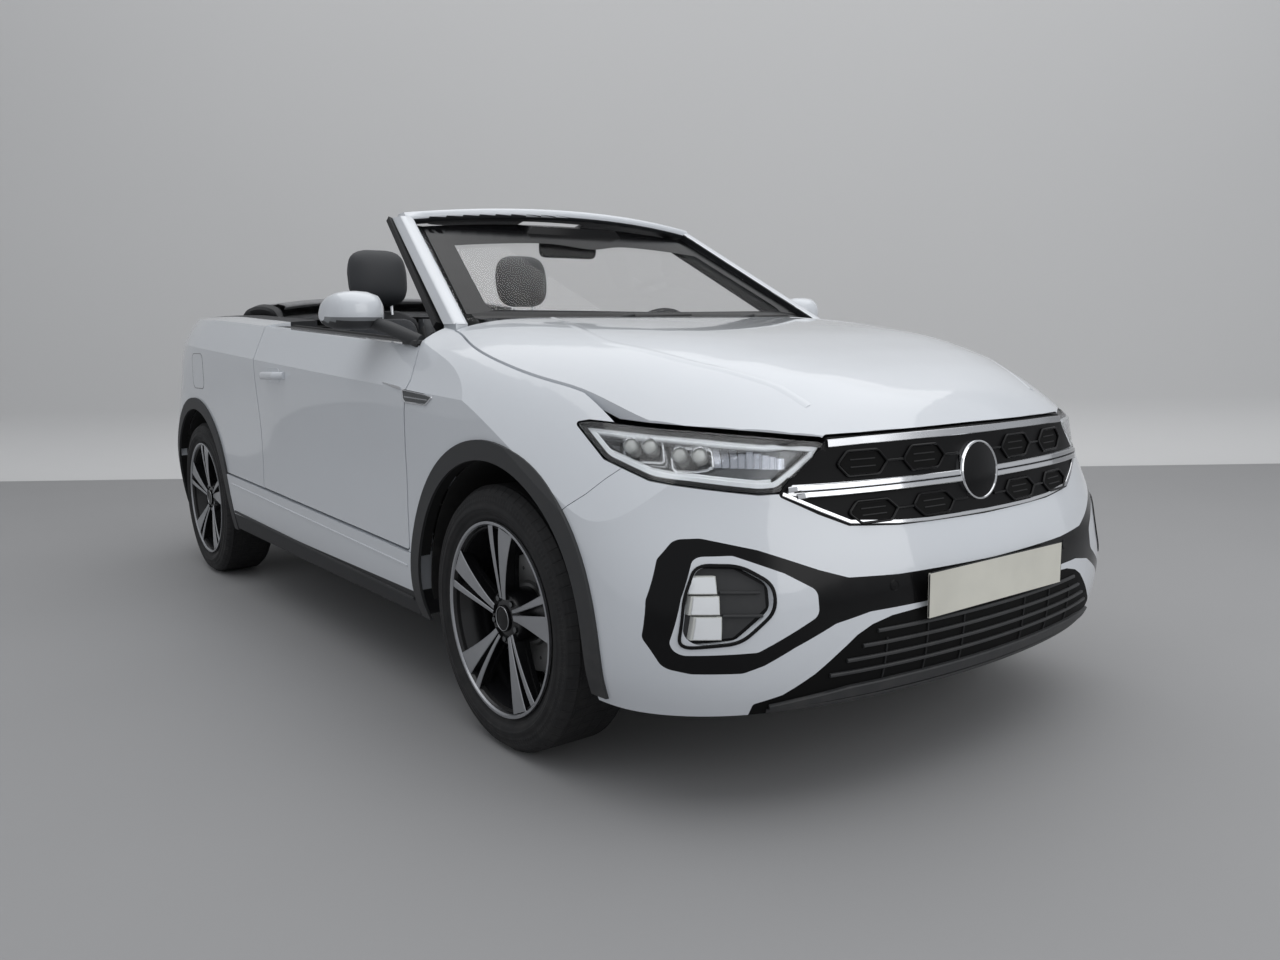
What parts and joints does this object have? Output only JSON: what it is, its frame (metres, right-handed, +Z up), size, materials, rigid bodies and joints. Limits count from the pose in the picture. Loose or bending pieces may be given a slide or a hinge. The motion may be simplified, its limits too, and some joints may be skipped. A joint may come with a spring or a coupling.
{
  "type": "two-door compact suv with folded soft top",
  "caption": "Open two-door compact SUV with its fabric roof folded behind the seats; doors, hood and boot lid open, front wheels steer and all wheels roll.",
  "frame": {"origin": "on the ground below the middle of the car", "axes": "+X forward, +Y to the car's left, +Z up"},
  "size_m": [4.271, 1.988, 1.4764],
  "materials": {
    "paint": "gloss white",
    "black_gloss": "gloss black",
    "dark_plastic": "grained dark grey",
    "chrome": "bright",
    "glass": "clear",
    "lens": "clear lens",
    "lamp_red": "red lens",
    "lamp_pale": "pale lens",
    "rim": "machined and dark painted",
    "tyre": "matt black",
    "steel": "bare",
    "cast": "as cast",
    "trim": "soft grained",
    "cloth": "dark woven",
    "roof_cloth": "black canvas",
    "plate": "blank pale",
    "underbody": "dark grey"
  },
  "bodies": {
    "body": {"floor_pan": "underbody", "front_structure": "underbody", "rear_structure": "underbody", "front_fenders": "paint", "rear_quarters": "paint", "sills": "paint", "front_bumper": "paint", "fog_surrounds": "black_gloss", "fog_rings": "paint", "fog_lamps": "lamp_pale", "lower_grille": "dark_plastic", "grille": "black_gloss", "grille_trim": "chrome", "headlamps": "lens", "rear_bumper": "paint", "rear_diffuser": "dark_plastic", "tail_lamps": "lamp_red", "cowl_panel": "dark_plastic", "windscreen_frame": "paint", "windscreen": "glass", "arch_trims": "dark_plastic", "arch_liners": "dark_plastic", "dashboard": "trim", "centre_console": "trim", "front_seats": "cloth", "rear_seat": "cloth", "soft_top": "roof_cloth", "interior_mirror": "black_gloss", "engine_block": "cast", "exhaust": "steel", "front_subframe": "underbody", "rear_axle_beam": "underbody", "fuel_tank": "underbody", "plates": "plate"},
    "hood": {"hood": "paint"},
    "boot_lid": {"boot_lid": "paint", "lid_lamps": "lamp_red"},
    "door_left": {"door_left": "paint", "mirror_left": "paint"},
    "door_right": {"door_right": "paint", "mirror_right": "paint"},
    "steering_wheel": {"steering_wheel": "trim"},
    "knuckle_left": {"knuckle_left": "cast"},
    "knuckle_right": {"knuckle_right": "cast"},
    "wheel_front_left": {"rim_front_left": "rim", "tyre_front_left": "tyre"},
    "wheel_front_right": {"rim_front_right": "rim", "tyre_front_right": "tyre"},
    "wheel_rear_left": {"rim_rear_left": "rim", "tyre_rear_left": "tyre"},
    "wheel_rear_right": {"rim_rear_right": "rim", "tyre_rear_right": "tyre"}
  },
  "joints": [
    {"name": "hood_hinge", "type": "hinge", "parent": "body", "child": "hood", "pos_m": [0.916, 0, 1.06], "axis": [0, -1, 0], "range_deg": [0, 50]},
    {"name": "boot_lid_hinge", "type": "hinge", "parent": "body", "child": "boot_lid", "pos_m": [-1.612, 0, 1.138], "axis": [0, 1, 0], "range_deg": [0, 80]},
    {"name": "door_left_hinge", "type": "hinge", "parent": "body", "child": "door_left", "pos_m": [0.76, 0.866, 0.7], "axis": [0, 0, -1], "range_deg": [0, 65]},
    {"name": "door_right_hinge", "type": "hinge", "parent": "body", "child": "door_right", "pos_m": [0.76, -0.866, 0.7], "axis": [0, 0, 1], "range_deg": [0, 65]},
    {"name": "steer_left", "type": "hinge", "parent": "body", "child": "knuckle_left", "pos_m": [1.3, 0.73, 0.336], "axis": [0, 0, 1], "range_deg": [-33, 33]},
    {"name": "steer_right", "type": "hinge", "parent": "body", "child": "knuckle_right", "pos_m": [1.3, -0.73, 0.336], "axis": [0, 0, 1], "range_deg": [-33, 33]},
    {"name": "steering_wheel_turn", "type": "hinge", "parent": "body", "child": "steering_wheel", "pos_m": [0.4, 0.34, 0.955], "axis": [-0.9063, 0, 0.4226], "range_deg": [-450, 450]},
    {"name": "spin_front_left", "type": "hinge", "parent": "knuckle_left", "child": "wheel_front_left", "pos_m": [1.3, 0.772, 0.336], "axis": [0, 1, 0], "continuous": true},
    {"name": "spin_front_right", "type": "hinge", "parent": "knuckle_right", "child": "wheel_front_right", "pos_m": [1.3, -0.772, 0.336], "axis": [0, 1, 0], "continuous": true},
    {"name": "spin_rear_left", "type": "hinge", "parent": "body", "child": "wheel_rear_left", "pos_m": [-1.33, 0.772, 0.336], "axis": [0, 1, 0], "continuous": true},
    {"name": "spin_rear_right", "type": "hinge", "parent": "body", "child": "wheel_rear_right", "pos_m": [-1.33, -0.772, 0.336], "axis": [0, 1, 0], "continuous": true}
  ],
  "couplings": [
    {"joint": "steer_right", "follows": "steer_left", "ratio": 1},
    {"joint": "steering_wheel_turn", "follows": "steer_left", "ratio": 13.6}
  ]
}
